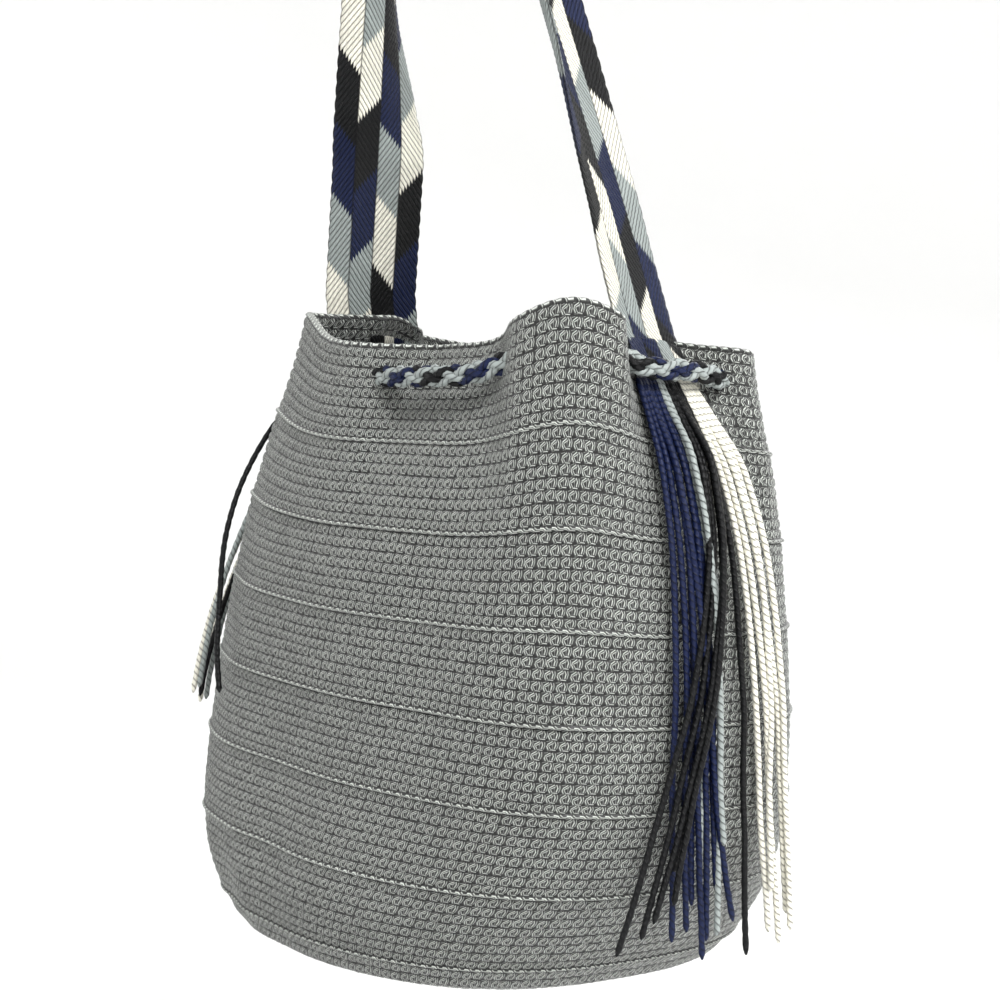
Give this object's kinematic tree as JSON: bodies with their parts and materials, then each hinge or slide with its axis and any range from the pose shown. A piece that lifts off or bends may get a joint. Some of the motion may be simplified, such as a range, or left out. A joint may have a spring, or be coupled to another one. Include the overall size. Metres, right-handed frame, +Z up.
{
  "type": "mochila bag",
  "caption": "Hand-crocheted bucket bag in silver-grey cotton with a braided drawstring, a woven shoulder strap and long hanging yarn ends.",
  "frame": {"origin": "underside of the strap's top bend, where a hook or hand holds the bag", "axes": "+Z up, the strap's sewn ends on either side along X with the near end at +X, the bag's front towards -Y"},
  "size_m": [0.3489, 0.248, 0.7456],
  "materials": {
    "bag_yarn": "crocheted mercerised cotton, soft gloss",
    "strap_weave": "tightly woven cotton band, oblique ribs",
    "navy_yarn": "plied cotton yarn",
    "grey_yarn": "plied cotton yarn",
    "black_yarn": "plied cotton yarn",
    "ivory_yarn": "plied cotton yarn",
    "braid": "round braid of plied cotton yarns"
  },
  "bodies": {
    "root": {"bag_body": "bag_yarn", "strap": "strap_weave", "near_fringe_navy": "navy_yarn", "near_fringe_grey": "grey_yarn", "near_fringe_black": "black_yarn", "near_fringe_ivory": "ivory_yarn", "far_fringe_navy": "navy_yarn", "far_fringe_grey": "grey_yarn", "far_fringe_black": "black_yarn", "far_fringe_ivory": "ivory_yarn", "drawstring": "braid", "drawstring_tail_left": "braid", "drawstring_tail_right": "braid", "tail_tassel_left": "braid", "tail_tassel_right": "braid"}
  },
  "joints": []
}
